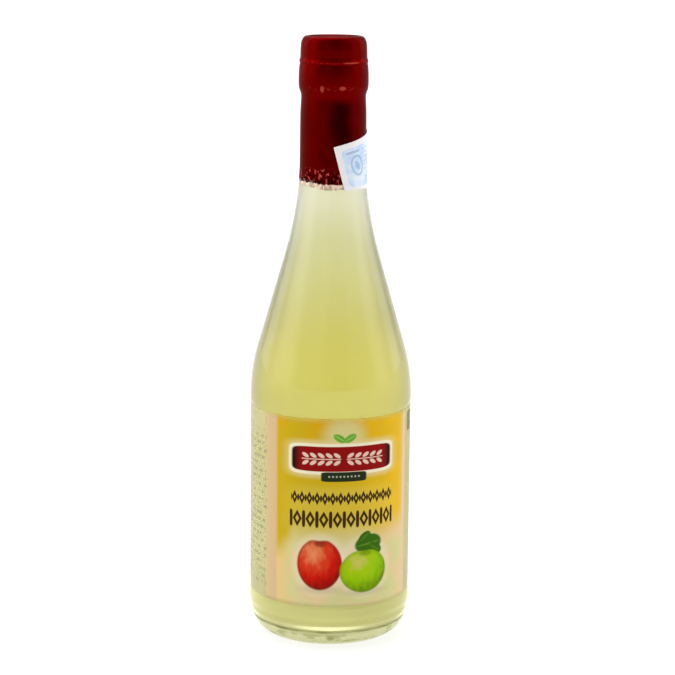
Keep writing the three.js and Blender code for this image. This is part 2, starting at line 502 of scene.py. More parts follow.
def glassOutline(b):
    marks = coneMarks(b)
    points = dome(b["pushUpHeight"], b["pushUpEdge"], b["bearingInner"] - 1.5 * mm, 10)
    points += [(b["bearingInner"] - 0.6 * mm, b["bearingRound"]), (b["bearingInner"], 0)]
    points += heelCurve(b, b["bearingOuter"], b["heelRadius"], 0, b["heelHeight"], 24)
    for i in range(1, 7):
        out = math.sin(i / 6 * math.pi / 2)
        points.append((
            b["heelRadius"] + (b["bodyRadius"] - b["heelRadius"]) * out,
            b["heelHeight"] + (b["heelRing"] - b["heelHeight"]) * (i / 6),
        ))
    # the recessed label panel
    body, panel, low, high = b["bodyRadius"], b["panelRadius"], b["panelBottom"], b["panelTop"]
    points += softStep(body, panel, low - 1 * mm, 1 * mm)
    points += [(panel, height) for height in spread(low + 2 * mm, high - 3 * mm, 20)]
    points += softStep(panel, body, high - 0.6 * mm, b["panelEdge"])
    heights = spread(marks["shoulderStart"], marks["shoulderEnd"], 18)
    heights += spread(marks["shoulderEnd"], marks["neckStart"], 14)[1:]
    heights += spread(marks["neckStart"], b["neckShown"], 18)[1:]
    points += [(glassRadius(b, height), height) for height in heights]
    points += [b["neckStep"], (b["neckTop"], b["neckNarrow"])]
    points += [(b["neckTop"], b["mouthHeight"] - b["lip"])]
    middle = b["neckTop"] - b["lip"]
    for i in range(1, 7):
        turn = i / 6 * math.pi
        height = b["mouthHeight"] - b["lip"] * (1 - math.sin(turn))
        points.append((middle + b["lip"] * math.cos(turn), height))
    return points


def makeGlass(b):
    outside = glassOutline(b)
    inside = innerOutline(b, 0, b["mouthHeight"] - 2 * b["lip"])
    isOutside = {point: True for point in outside}
    isOutside.update({point: False for point in inside})

    def shape(radius, height, turn):
        if isOutside[(radius, height)]:
            out = 0
            for seam in (b["seamTurn"], b["seamTurn"] - math.pi):
                away = math.remainder(turn - seam, 2 * math.pi) * radius
                out += b["seamHeight"] * math.exp(-((away / b["seamWidth"]) ** 2))
            if radius > b["heelRadius"]:
                out = 0
            knurl = 0
            if b["bearingInner"] - 0.1 * mm <= radius <= b["bearingOuter"] + 1.5 * mm and height < 0.6 * mm:
                knurl = b["knurlHeight"] * (0.5 + 0.5 * math.sin(b["knurls"] * turn)) ** 2
            return radius + out, height + knurl
        swell = 0
        for count, climb, start, share in b["waves"]:
            swell += share * math.sin(count * turn + climb * height + start)
        fade = limited((height - b["waveStart"]) / b["waveFade"])
        return radius + b["waveDepth"] * swell * fade * 0.5, height

    piece = turnedPiece("glassBottle", outside + inside[::-1], b["steps"], shape)
    finishPiece(piece, "glass_bottle", "clear_glass", clearGlass(b))
    print("glass ready")


def clearGlass(b):
    glass = Finish("clearGlass", Roughness=0.0, IOR=1.5, Transmission_Weight=1.0)
    glass.tinted(b["insideTint"], b["insideDensity"])
    x, y, z = glass.parts(glass.place())
    around, up = glass.wrapped(b["heelRadius"])
    # stippled bearing ring and underside scatter the light
    under = 1 - glass.rise(z * (1 / mm), b["frostTop"], 1.6)
    glass.feed("Roughness", under * (0.3 + glass.cloud(glass.place(), b["stippleScale"], 3) * 0.3))
    # the thick base shows the olive cast of the glass, with a broken line and blotches of painted shade, and
    # a dark spot
    cast = glass.blend(glass.rise(up, b["castTop"], 9.0), b["baseCast"], b["glassTint"])
    broken = glass.rise(glass.cloud(glass.joined(around * 0.06, 2.0), 1.0, 1), 0.5, 0.12)
    line = glass.between(up, *b["darkLine"], 0.8) * broken
    shadeBlotches = glass.rise(glass.cloud(glass.joined(around * 0.1, up * 0.25, 5.0), 1.0, 2), 0.56, 0.12)
    shadeBlotches = shadeBlotches * glass.between(up, *b["shadeBlotches"], 2.0) * 0.6
    marks = glass.most(line, shadeBlotches, glass.oval(around, up, b["darkSpot"], b["darkSpotSize"], 0.9))
    glass.feed("Base Color", glass.blend(marks * 0.75, cast, b["baseShadeTone"]))
    # the outside of the heel is frosted low down, with a yellow band of painted light above and a painted
    # highlight ring where it turns under
    radius = (x ** 2 + y ** 2) ** 0.5 * (1 / mm)
    outer = glass.rise(radius, b["heelOutside"], 0.2)
    # the painted highlight ring and light band are strongest at the front, the back and the sides
    swing = glass.maths("COSINE", around * (4 / (b["heelRadius"] / mm)))  # four times round the bottle
    ring = glass.between(up, *b["paintedHighlightRing"], 0.9) * (0.66 + swing * 0.34) * outer
    lightBand = glass.between(up, *b["paintedLightBand"], 3.0) * (0.53 + swing * 0.06) * outer
    frosted = (1 - glass.rise(up, b["frostedHeel"], 1.2)) * 0.6
    share = glass.most(ring, lightBand + frosted)
    heelLightAndShade = glass.blend(ring, glass.blend(frosted, b["paintedLightTone"], b["frostedTone"]), b["paintedHighlightTone"])
    # the painted shade and the dark spot show over it
    heelLightAndShade = glass.blend(marks * 0.8, heelLightAndShade, b["baseShadeTone"])
    # painted glow in the highlight ring, standing in for light gathered there
    glow = glass.blend(ring * (1 - marks), (0.0, 0.0, 0.0), b["paintedRingGlow"])
    glass.overlaid(share, heelLightAndShade, b["heelRoughness"], glow, b["paintedRingGlowStrength"])
    glass.bumped(glass.cloud(glass.place(), b["rippleScale"], 2), 0.12, b["rippleDepth"])
    return glass


vinegar = {
    "reach": 0.2 * mm,
    "level": 203 * mm,
    "meniscus": 0.8 * mm,
    "steps": 192,
    "clearness": 0.9,
    "roughness": 0.36,
    "insideTint": (0.87, 0.845, 0.0),
    "insideDensity": 12.0,
    "hazeScale": 24,
    # deeper yellow in the wide body than in the neck, by share of the level, and paler at the very bottom,
    # where light is painted in
    "tones": [
        (0.0, (1.0, 0.98, 0.66)), (0.08, (1.0, 0.97, 0.5)), (0.55, (0.91, 0.84, 0.29)),
        (0.63, (0.91, 0.84, 0.33)), (0.73, (0.90, 0.87, 0.48)), (0.857, (0.93, 0.91, 0.66)),
        (0.94, (1.0, 0.99, 0.87)),
    ],
}


def makeVinegar(v, b):
    outline = innerOutline(b, v["reach"], v["level"])
    rim = b["bore"] + v["reach"]
    for share in (0.97, 0.9, 0.8, 0.6, 0.3, 0):
        outline.append((rim * share, v["level"] - v["meniscus"] * (1 - share ** 8)))
    piece = turnedPiece("paleVinegar", outline, v["steps"])
    liquid = Finish("paleVinegar", Roughness=0.0, IOR=1.34, Transmission_Weight=v["clearness"])
    liquid.tinted(v["insideTint"], v["insideDensity"])
    height = liquid.parts(liquid.place())[2]
    haze = liquid.cloud(liquid.place(), v["hazeScale"], 3)
    liquid.feed("Base Color", liquid.ramp(height * (1 / v["level"]) + (haze - 0.5) * 0.08, v["tones"]))
    liquid.feed("Roughness", v["roughness"] + haze * 0.1)
    finishPiece(piece, "vinegar", "vinegar", liquid)
    print("vinegar ready")


# red capsule: outline from the crimped lower edge up, in millimetres
capsule = {
    "edge": 197.6,
    "outline": [
        (14.5, 197.6), (14.45, 199.4), (14.35, 201.6), (14.25, 206), (14.2, 214), (14.12, 226),
        (14.0, 230), (13.85, 233), (13.82, 234.7), (13.95, 235.7), (14.25, 236.7), (14.62, 237.7),
        (14.84, 239), (14.92, 240.6), (14.88, 244), (14.72, 246.8), (14.58, 247.7), (14.48, 248.2),
        (14.5, 248.7), (14.63, 249.2), (14.62, 249.7), (14.45, 250.3), (14.3, 250.9), (14.25, 252.4),
        (14.2, 254.6),
    ],
    "roundHeight": 4.4,
    "roundDepth": 2.5,
    "top": 260,
    # the sunk lid: how far in from its rim, and how deep
    "lid": [(0.35, 0.03), (0.7, 0.16), (1.1, 0.42), (1.6, 0.68), (2.3, 0.8), (5, 0.82), (8, 0.8)],
    "lidCentre": 0.78,
    "ceiling": 257.2,
    "bore": 12.85,
    "boreEnd": 232,
    "boreOutline": [(13.3, 214), (13.5, 206), (13.9, 201.6), (14.1, 199.4), (14.3, 197.7)],
    "skin": 13.2,
    "crimpTop": 205,
    "crimpDepth": 0.28,
    "dentDepth": 0.06,
    "shrink": 0.04,
    "raggedness": 0.27,
    "flapDrop": 1.9,
    "flapTurn": math.radians(8),
    "flapWidth": math.radians(38),
    "stickerEnd": math.radians(115),
    "steps": 320,
    "sharpAngle": math.radians(60),
    "middleRadius": 14.4,
    "sheen": (0.5, 0.02, 0.02, 1),
    "reds": ((0.11, 0.0, 0.0), (0.15, 0.0, 0.0)),
    "neckShadeRed": (0.012, 0.0, 0.0),
    "foldShadeRed": (0.015, 0.0, 0.0),
    "crimpGlintRed": (0.62, 0.09, 0.07),
    "ridgeHighlightRed": (0.21, 0.0, 0.0),
    "glintSpotRed": (0.62, 0.10, 0.06),
    "paleBandTones": ((0.95, 0.76, 0.58), (0.70, 0.24, 0.08)),
    # painted shade: how high the darker neck reaches, and the centre and size of its darkest patch
    "neckTop": 233.0,
    "hollow": ((3.6, 223.0), (4.6, 13.0)),
    "foldShadeTop": 203.5,
    "crimpGlints": (197.0, 201.5),
    "bead": (237.6, 239.4),
    "ridge": (248.9, 250.6),
    "ridgeGlints": (249.0, 249.9),
    # centre, size and softness of each painted glint on the bead and the ridge
    "glintSpots": [
        ((-4.8, 238.4), (0.7, 1.3), 0.8), ((3.8, 238.8), (1.3, 0.8), 0.8), ((8.0, 249.3), (3.8, 0.35), 0.6),
    ],
    "paleBandTop": 198.9,
    "slant": ((3.0, 197.0), (10.0, 30.0)),
}


# soft curve through the outline's points
def smoothed(points, per):
    result = []
    for i in range(len(points) - 1):
        before = Vector(points[max(i - 1, 0)])
        start = Vector(points[i])
        end = Vector(points[i + 1])
        after = Vector(points[min(i + 2, len(points) - 1)])
        for k in range(per):
            t = k / per
            place = 0.5 * (
                2 * start + (end - before) * t + (2 * before - 5 * start + 4 * end - after) * t ** 2
                + (3 * start - before - 3 * end + after) * t ** 3
            )
            result.append((place.x, place.y))
    result.append(points[-1])
    return result


def capsuleOutline(c):
    outside = smoothed(c["outline"], 5)
    roundFrom = c["top"] - c["roundHeight"]
    lastRadius = c["outline"][-1][0] - 0.1
    for i in range(13):
        turn = i / 12 * math.pi / 2
        radius = lastRadius - c["roundDepth"] * (1 - math.cos(turn))
        outside.append((radius, roundFrom + c["roundHeight"] * math.sin(turn)))
    rim = outside[-1][0]
    outside += [(rim - inward, c["top"] - drop) for inward, drop in c["lid"]]
    outside.append((0, c["top"] - c["lidCentre"]))
    inside = [(c["bore"] * share, c["ceiling"]) for share in (0, 0.5, 1)]
    inside += [(c["bore"], c["boreEnd"])] + c["boreOutline"]
    return [(radius * mm, height * mm) for radius, height in inside + outside]


def makeCapsule(c):
    edge, crimpTop = c["edge"] * mm, c["crimpTop"] * mm

    def shape(radius, height, turn):
        fade = limited((crimpTop - height) / (crimpTop - edge))
        spot = Vector((math.cos(turn), math.sin(turn), 0))
        folds = noise.noise(spot * 9 + Vector((0, 0, height * 260)))
        folds += 0.6 * noise.noise(spot * 21 + Vector((3, 0, height * 500)))
        dent = noise.noise(spot * 1.6 + Vector((0, 5, height * 45)))
        ragged = math.sin(3 * turn + 1.1) + 0.6 * math.sin(7 * turn + 0.4) + 0.4 * math.sin(11 * turn)
        ragged += 1.2 * noise.noise(spot * 14)
        # the film lies flatter under the sticker
        under = 0.35 if 0 < turn < c["stickerEnd"] else 1
        out = 0
        if radius > c["skin"] * mm:
            out = c["crimpDepth"] * mm * fade * folds * under + c["dentDepth"] * mm * dent - c["shrink"] * mm
        # the torn flap hangs lower beside the sticker
        away = math.remainder(turn - c["flapTurn"], 2 * math.pi) / c["flapWidth"]
        flap = c["flapDrop"] * mm * math.exp(-away ** 2) * fade ** 3
        return radius + out + flap * 0.1, height + c["raggedness"] * mm * fade ** 3 * ragged - flap

    piece = turnedPiece("redCapsule", capsuleOutline(c), c["steps"], shape, c["sharpAngle"])
    finishPiece(piece, "capsule", "red_capsule", redCapsule(c))
    print("capsule ready")


def redCapsule(c):
    red = Finish("redCapsule", Roughness=0.22, IOR=1.5, Specular_IOR_Level=0.05, Specular_Tint=c["sheen"])
    spot = red.place()
    around, up = red.wrapped(c["middleRadius"] * mm)
    tone = red.blend(red.rise(red.cloud(spot, 60, 3), 0.5, 0.5), *c["reds"])
    # painted shade: darker on the neck, with soft dark patches
    neck = 1 - red.rise(up, c["neckTop"], 4.0)
    drift = (red.cloud(spot, 90, 2) - 0.5) * 7
    hollow = red.oval(around + drift, up, *c["hollow"], 1.5)
    hollow = red.most(hollow, red.rise(red.cloud(spot, 52, 2), 0.62, 0.2) * 0.7)
    tone = red.blend(neck * 0.22 + neck * hollow * 0.68, tone, c["neckShadeRed"])
    # painted glints on the pleats and painted shade in the folds, just above the edge
    pleat = red.cloud(red.joined(around * 0.55, up * 0.42 + around * 0.12), 1.1, 3)
    foldShade = red.rise(red.cloud(red.joined(around * 0.8, up * 0.5), 1.0, 2), 0.47, 0.2)
    foldShade = foldShade * (1 - red.rise(up, c["foldShadeTop"], 5.0))
    tone = red.blend(foldShade * 0.85, tone, c["foldShadeRed"])
    crimpGlintFrom, crimpGlintTo = c["crimpGlints"]
    crimpGlints = red.rise(pleat, 0.585, 0.09) * red.between(up, crimpGlintFrom, crimpGlintTo + pleat * 5, 1.6)
    tone = red.blend(crimpGlints * 0.8, tone, c["crimpGlintRed"])
    # painted glints on the bead and the ridge, over a lighter band of painted highlight on the ridge
    glintSpot = sum(red.oval(around, up, centre, size, soft) for centre, size, soft in c["glintSpots"])
    glintNoise = red.rise(red.cloud(red.joined(around * 0.5, up), 1.4, 2), 0.62, 0.08)
    glintSpot = glintSpot + glintNoise * 0.4 * (red.between(up, *c["bead"], 0.8) + red.between(up, *c["ridgeGlints"], 0.4))
    tone = red.blend(red.between(up, *c["ridge"], 0.6) * 0.8, tone, c["ridgeHighlightRed"])
    tone = red.blend(red.maths("MINIMUM", glintSpot, 1.0) * 0.42, tone, c["glintSpotRed"])
    # a pale ragged band along the lower edge, with darker specks
    tear = (red.cloud(red.joined(around, 3.0), 0.7, 3) - 0.5) * 2.6
    slant = red.oval(around, up, *c["slant"], 1.0) * 0.7
    paleBand = 1 - red.rise(up + slant + tear, c["paleBandTop"], 0.4)
    specks = red.rise(red.cloud(spot, 1500, 2), 0.6, 0.1) * 0.6
    red.feed("Base Color", red.blend(paleBand, tone, red.blend(specks, *c["paleBandTones"])))
    red.feed("Metallic", (1 - paleBand) * 0.7)
    red.feed("Roughness", 0.17 + red.cloud(spot, 220, 3) * 0.12 + paleBand * 0.3)
    red.bumped(red.cloud(spot, 300, 3), 0.15, 0.15 * mm)
    return red


# wrap-around label of clear film, printed in fields and plain shapes; sizes in millimetres round and up
label = {
    "inner": 34.62,
    "outer": 34.8,
    "bottom": 19.4,
    "top": 101.8,
    "steps": 360,
    "fieldLeft": -24.5,
    "fieldRight": 38.5,
    "filmClear": 0.42,
    "filmMiddle": 7,
    # opaque film left and right of the field, and the clear strip at the bottom and top
    "opaqueBeside": (6.5, 2.5),
    "clearEnds": (1.1, 1.3),
    # printed field: yellow above, tan below
    "yellows": ((0.64, 0.43, 0.004), (0.74, 0.40, 0.002)),
    "paintedLightYellow": (0.90, 0.52, 0.002),
    "yellowDull": (0.60, 0.44, 0.03),
    "yellowEdge": (0.80, 0.60, 0.26),
    "tans": ((0.82, 0.62, 0.32), (0.70, 0.67, 0.30)),
    "tanLeft": (0.84, 0.58, 0.20),
    "tanTop": 53.0,
    # plaque with a garland: half sizes of its halo, its border and itself
    "plaque": (6, 84.4),
    "plaqueHalo": ((25.4, 8.2), (0.80, 0.66, 0.30)),
    "plaqueBorder": ((24.2, 6.7), (0.95, 0.87, 0.62)),
    "plaqueHalf": (22.8, 5.4),
    "plaqueReds": ((0.29, 0.002, 0.002), (0.02, 0.002, 0.001)),
    "garlandRun": (1.2, 18.2),
    "garlandPitch": 3.4,
    "garlandLeaf": (1.6, 0.78),
    "garlandLeaves": ((86.0, 32), (82.8, -32)),
    "garlandStem": (84.2, 84.6),
    "garlandTone": (0.86, 0.60, 0.48),
    "crest": (6.4, 93.4),
    "crestGlow": ((6.4, 94.0), (8.5, 7.5), (0.72, 0.70, 0.33)),
    "crestSpread": 2.3,
    "crestLean": 30,
    "crestLeaf": (2.9, 1.5),
    "crestGreens": ((0.15, 0.43, 0.03), (0.56, 0.74, 0.27)),
    # small dark bar with dots
    "bar": ((6.2, 76.7), (9.9, 2.1), (0.018, 0.03, 0.010)),
    "dotRun": (-1.0, 13.4),
    "dotPitch": 1.6,
    "dotUp": 76.8,
    "dotSize": (0.42, 0.42),
    "dotTone": (0.45, 0.48, 0.36),
    # two rows of lozenges with a hole, and a divider between each two of them
    "ornamentHalo": ((6.4, 62.2), (25, 9.8), (0.80, 0.66, 0.12)),
    "ornamentTone": (0.05, 0.024, 0.004),
    "rowStart": -17.0,
    "ornamentRows": [
        {
            "up": 67.2, "pitch": 3.35, "run": (-17.0, 29.9), "aside": 1.68,
            "lozenge": ((1.3, 3.0), 0.2), "hole": ((0.42, 0.9), 0.4), "divider": ((0.5, 1.5), 0.3, 2),
        },
        {
            "up": 58.0, "pitch": 5.85, "run": (-17.6, 30.4), "aside": 2.92,
            "lozenge": ((2.1, 3.7), 0.14), "hole": ((0.85, 1.6), 0.25), "divider": ((0.72, 3.7), 0.2, 4),
        },
    ],
    # two fruits with dark leaves, on a pale glow
    "fruitGlows": (((-4.2, 37.9), (11.8, 13.8)), ((15.6, 36.5), (13.0, 13.5))),
    "fruitGlowTone": (0.92, 0.78, 0.56),
    "redFruit": {
        "centre": (-4.2, 38.2),
        "size": (9.8, 11.4),
        "skin": [
            (0.0, (0.25, 0.0, 0.0)), (0.35, (0.66, 0.008, 0.0)),
            (0.6, (0.74, 0.05, 0.012)), (1.0, (0.86, 0.30, 0.12)),
        ],
        "rim": (0.20, 0.02, 0.006),
    },
    "greenFruit": {
        "centre": (15.6, 34.8),
        "size": (11.0, 9.6),
        "skin": [
            (0.0, (0.12, 0.24, 0.0)), (0.4, (0.31, 0.58, 0.0)),
            (0.7, (0.42, 0.62, 0.004)), (1.0, (0.66, 0.56, 0.14)),
        ],
        "rim": (0.17, 0.30, 0.0),
    },
    "fruitShade": (0.42, 0.36, 0.24),
    # centre, size and lean of each leaf
    "fruitLeaves": [
        ((17.6, 46.6), (6.4, 4.2), 8), ((15.6, 49.6), (3.4, 2.0), 40), ((20.8, 44.4), (3.6, 2.2), -30),
    ],
    "fruitGreens": ((0.04, 0.15, 0.003), (0.14, 0.30, 0.02)),
    # side film with rows of short dashes
    "dashStart": 24.0,
    "dashPitch": 3.1,
    "dashHalf": 0.62,
    "sideRows": (25.0, 94.0),
    "sideRun": (38.0, 68.0),
    "backRows": (25.0, 82.0),
    "backFrom": 84.0,
    "sideTones": ((0.66, 0.63, 0.31), (0.76, 0.70, 0.42)),
    "stripeEnd": 38.5,
    "stripeTones": ((0.70, 0.50, 0.26), (0.78, 0.61, 0.35)),
    "dashTone": (0.17, 0.19, 0.09),
    "block": ((46.8, 96.0), (3.4, 4.4), (0.12, 0.15, 0.07)),
    # the side that is stuck to the glass
    "backTones": ((0.80, 0.70, 0.48), (0.88, 0.80, 0.62)),
    "backPaintedGlow": 0.4,
}


def makeLabel(s):
    inner, outer, bottom, top, steps = s["inner"], s["outer"], s["bottom"], s["top"], s["steps"]
    outline = [(inner, bottom), (outer - 0.03, bottom), (outer, bottom + 0.05)]
    outline += [(outer, height) for height in spread(bottom + 2, top - 2, 12)]
    outline += [(outer, top - 0.05), (outer - 0.03, top), (inner, top)]
    outline += [(inner, height) for height in spread(top - 2, bottom + 2, 6)]
    points, faces, inwardFaces = [], [], []
    for radius, height in outline:
        points += [roundPoint(radius * mm, 2 * math.pi * i / steps, height * mm) for i in range(steps)]
    count = len(outline)
    for k in range(count):
        following = (k + 1) % count
        low, high = k * steps, following * steps
        for i in range(steps):
            j = (i + 1) % steps
            inwardFaces.append(outline[k][0] == inner and outline[following][0] == inner)
            faces.append((low + i, low + j, high + j, high + i))
    piece = makeMesh("wrapLabel", points, faces)
    finishPiece(piece, "wrap_label", "label_film", labelPrint(s), labelBack(s))
    for face, inward in zip(piece.data.polygons, inwardFaces):
        face.material_index = 1 if inward else 0
    print("label ready")


# where the film is opaque: the printed field and the stripes beside it, thinning out at the top and bottom
def opaqueFilm(kit, s, around, up):
    left, right = s["opaqueBeside"]
    lower, upper = s["clearEnds"]
    wide = kit.between(around, s["fieldLeft"] - left, s["fieldRight"] + right, 3.0)
    return wide * kit.between(up, s["bottom"] + lower, s["top"] - upper, 2.2)


def fruit(ink, base, around, up, f, shadeTone):
    x = (around - f["centre"][0]) * (1 / f["size"][0])
    y = (up - f["centre"][1]) * (1 / f["size"][1])
    dip = (1 - ink.rise(abs(x), 0.22, 0.44)) * ink.rise(y, 0.4, 0.8) * 0.08
    away = (x ** 2 + y ** 2) ** 0.5 + dip
    # lighter towards the upper left, with a streaky skin and a darker rim
    light = 1.0 - ((x + 0.25) ** 2 + (y - 0.45) ** 2) ** 0.5 * 0.66
    coat = ink.ramp(light + (ink.cloud(ink.joined(x * 1.6, y), 2.6, 3) - 0.5) * 0.6, f["skin"])
    coat = ink.blend(ink.rise(away, 0.93, 0.24) * 0.65, coat, f["rim"])
    hollow = ink.oval(x, y, (0.04, 0.8), (0.26, 0.12), 0.9)
    coat = ink.blend(hollow * 0.7, coat, f["rim"])
    shade = ink.oval(x, y, (0.06, -0.98), (0.85, 0.16), 1.2)
    base = ink.blend(shade * 0.35, base, shadeTone)
    return ink.blend(1 - ink.rise(away, 1.0, 0.09), base, coat)


def leaf(ink, base, around, up, centre, size, lean, greens):
    body = ink.oval(around, up, centre, size, 0.2, lean)
    vein = ink.oval(around, up, centre, (size[0] * 0.85, size[1] * 0.09), 0.8, lean)
    return ink.blend(body, base, ink.blend(vein * 0.8, *greens))


# yellow above, fading to tan below, lower and warmer at the left edge
def printedField(ink, s, around, up, mottle):
    spot = ink.place()
    drift = ink.cloud(spot, 42, 2)
    yellow = ink.blend(ink.rise(drift + (up - 92) * 0.012, 0.52, 0.25), *s["yellows"])
    # painted light: brighter, deeper yellow towards the right
    yellow = ink.blend(ink.rise(around, 14.0, 44.0), yellow, s["paintedLightYellow"])
    yellow = ink.blend(ink.rise(mottle, 0.5, 0.6) * 0.35, yellow, s["yellowDull"])
    yellow = ink.blend(ink.rise(around, 36.5, 4.0) * 0.4, yellow, s["yellowEdge"])
    edgeStrip = 1 - ink.rise(around, -19.0, 9.0)
    tan = ink.blend(ink.rise(ink.cloud(spot, 75, 2), 0.5, 0.25), *s["tans"])
    tan = ink.blend(edgeStrip * 0.75, tan, s["tanLeft"])
    fade = ink.rise(up + edgeStrip * 10 + (drift - 0.5) * 10, s["tanTop"], 13.0)
    return ink.blend(fade, tan, yellow), fade


# plain dark red plaque in a cream border, with a garland of small leaves, two leaves above and a bar below
def plaqueInk(ink, s, ground, around, up):
    centre, size, tone = s["crestGlow"]
    ground = ink.blend(ink.oval(around, up, centre, size, 1.0) * 0.75, ground, tone)
    half, tone = s["plaqueHalo"]
    ground = ink.blend(ink.plate(around, up, s["plaque"], half, 0.3, 6) * 0.75, ground, tone)
    half, tone = s["plaqueBorder"]
    ground = ink.blend(ink.plate(around, up, s["plaque"], half, 0.06), ground, tone)
    aside = abs(around - s["plaque"][0])
    red = ink.blend(ink.rise(aside, 20.0, 4.0), *s["plaqueReds"])
    ground = ink.blend(ink.plate(around, up, s["plaque"], s["plaqueHalf"], 0.05), ground, red)
    along = ink.cell(aside, s["garlandRun"][0], s["garlandPitch"])
    garland = ink.between(up, *s["garlandStem"], 0.2)
    for height, lean in s["garlandLeaves"]:
        spray = ink.oval(along, up, (0, height), s["garlandLeaf"], 0.35, math.radians(lean))
        garland = ink.most(garland, spray)
    ground = ink.blend(garland * ink.between(aside, *s["garlandRun"], 0.1), ground, s["garlandTone"])
    for side in (-1, 1):
        centre = (s["crest"][0] + side * s["crestSpread"], s["crest"][1])
        lean = math.radians(s["crestLean"] * side)
        ground = leaf(ink, ground, around, up, centre, s["crestLeaf"], lean, s["crestGreens"])
    centre, half, tone = s["bar"]
    ground = ink.blend(ink.plate(around, up, centre, half, 0.08), ground, tone)
    along = ink.cell(around, s["dotRun"][0], s["dotPitch"])
    dots = ink.oval(along, up, (0, s["dotUp"]), s["dotSize"], 0.5)
    return ink.blend(dots * ink.between(around, *s["dotRun"], 0.1), ground, s["dotTone"])


# two rows of plain ornament in dark brown, one over the other
def ornamentInk(ink, s, ground, fade, around, up):
    centre, half, tone = s["ornamentHalo"]
    ground = ink.blend(ink.plate(around, up, centre, half, 0.5, 6) * fade * 0.3, ground, tone)
    for row in s["ornamentRows"]:
        along = ink.cell(around, s["rowStart"], row["pitch"])
        middle = (0, row["up"])
        lozenge = ink.lozenge(along, up, middle, *row["lozenge"])
        lozenge = lozenge - ink.lozenge(along, up, middle, *row["hole"])
        divider = ink.plate(abs(along), up, (row["aside"], row["up"]), *row["divider"])
        inRow = ink.most(lozenge, divider) * ink.between(around, *row["run"], 0.1)
        ground = ink.blend(inRow, ground, s["ornamentTone"])
    return ground


def fruitInk(ink, s, ground, around, up):
    for centre, size in s["fruitGlows"]:
        ground = ink.blend(ink.oval(around, up, centre, size, 0.35) * 0.5, ground, s["fruitGlowTone"])
    ground = fruit(ink, ground, around, up, s["redFruit"], s["fruitShade"])
    for centre, size, lean in s["fruitLeaves"]:
        ground = leaf(ink, ground, around, up, centre, size, math.radians(lean), s["fruitGreens"])
    return fruit(ink, ground, around, up, s["greenFruit"], s["fruitShade"])


# beside the field: a beige stripe, then pale film with rows of short dashes
def sideInk(ink, s, around, up, mottle):
    row = ink.cell(up, s["dashStart"], s["dashPitch"])
    broken = ink.cloud(ink.joined(around * 0.42, (up - row) * 7.7), 1.0, 1)
    dash = ink.between(row, -s["dashHalf"], s["dashHalf"], 0.3) * ink.rise(broken, 0.52, 0.06)
    aside = abs(around - s["filmMiddle"])
    beside = ink.between(up, *s["sideRows"], 0.4) * ink.between(aside, *s["sideRun"], 0.6)
    behind = ink.between(up, *s["backRows"], 0.4) * ink.rise(abs(around), s["backFrom"], 0.6)
    dashes = dash * ink.most(beside, behind)
    side = ink.blend(mottle, *s["sideTones"])
    stripe = ink.blend(ink.rise(around, 20.0, 20.0), *s["stripeTones"])
    side = ink.blend(ink.rise(aside, s["stripeEnd"], 4.0), stripe, side)
    side = ink.blend(dashes * (0.6 + behind * 0.35), side, s["dashTone"])
    centre, half, tone = s["block"]
    return ink.blend(ink.plate(around, up, centre, half, 0.2), side, tone), dashes


def labelPrint(s):
    ink = Finish("labelPrint", Roughness=0.38, IOR=1.5, Specular_IOR_Level=0.06)
    around, up = ink.wrapped(s["outer"] * mm)
    mottle = ink.cloud(ink.place(), 130, 4)
    ground, fade = printedField(ink, s, around, up, mottle)
    ground = plaqueInk(ink, s, ground, around, up)
    ground = ornamentInk(ink, s, ground, fade, around, up)
    ground = fruitInk(ink, s, ground, around, up)
    side, dashes = sideInk(ink, s, around, up, mottle)
    field = ink.between(around, s["fieldLeft"], s["fieldRight"], 1.6)
    ink.feed("Base Color", ink.blend(field, side, ground))
    ink.feed("Roughness", 0.33 + mottle * 0.12)
    # clear film lets most light through, more of it at the back
    atBack = ink.rise(abs(around - s["filmMiddle"]), 72.0, 12.0)
    haze = (1 - s["filmClear"]) * (1 - atBack * 0.88)
    solid = ink.most(opaqueFilm(ink, s, around, up), dashes)
    ink.feed("Alpha", haze + solid * (1 - haze))
    ink.bumped(ink.cloud(ink.place(), 500, 3), 0.1, 0.05 * mm)
    return ink


# the side of the film that is stuck to the glass: pale behind the print, nearly clear elsewhere, with a
# painted glow
def labelBack(s):
    back = Finish("labelBack", Roughness=0.6, Emission_Strength=s["backPaintedGlow"])
    around, up = back.wrapped(s["inner"] * mm)
    tone = back.blend(back.cloud(back.place(), 90, 4), *s["backTones"])
    back.feed("Base Color", tone)
    back.feed("Emission Color", tone)  # painted glow that stands in for daylight coming through the film
    patch = back.rise(back.cloud(back.place(), 55, 2), 0.5, 0.4) * 0.1
    back.feed("Alpha", back.most(opaqueFilm(back, s, around, up), patch))
    return back


# tilted sticker on the neck, sizes in millimetres along its own sides
sticker = {
    "width": 28,
    "height": 19,
    "tilt": math.radians(14.5),
    "turn": math.radians(1),
    "top": 214.2,
    "bend": 14.3,
    "lift": 0.1,
    "thickness": 0.14,
    "level": 0.34,
    "columns": 84,
    "rows": 57,
    "curlHeight": 0.38,
    "curlReach": 1.6,
    "blues": ((0.52, 0.71, 1.0), (0.82, 0.92, 1.0)),
    "fibreBlue": (0.85, 0.92, 1.0),
    "borders": ((0.90, 0.87, 0.88), (0.97, 0.96, 0.97)),
    "inkBlue": (0.24, 0.36, 0.58),
    "emblem": (9.2, 9.6),
    "emblemOuter": (3.6, 4.2),
    "emblemInner": (2.7, 3.2),
    "emblemCore": (1.2, 2.0),
    "topBar": ((8.0, 15.0), (3.6, 0.5)),
    "lineStart": 2.2,
    "linePitch": 1.5,
    "lineHalf": 0.28,
    "lineRun": (13.6, 24.6),
    "lineRows": (3.0, 15.6),
    "field": ((14.6, 9.1), (11.9, 7.7)),
}


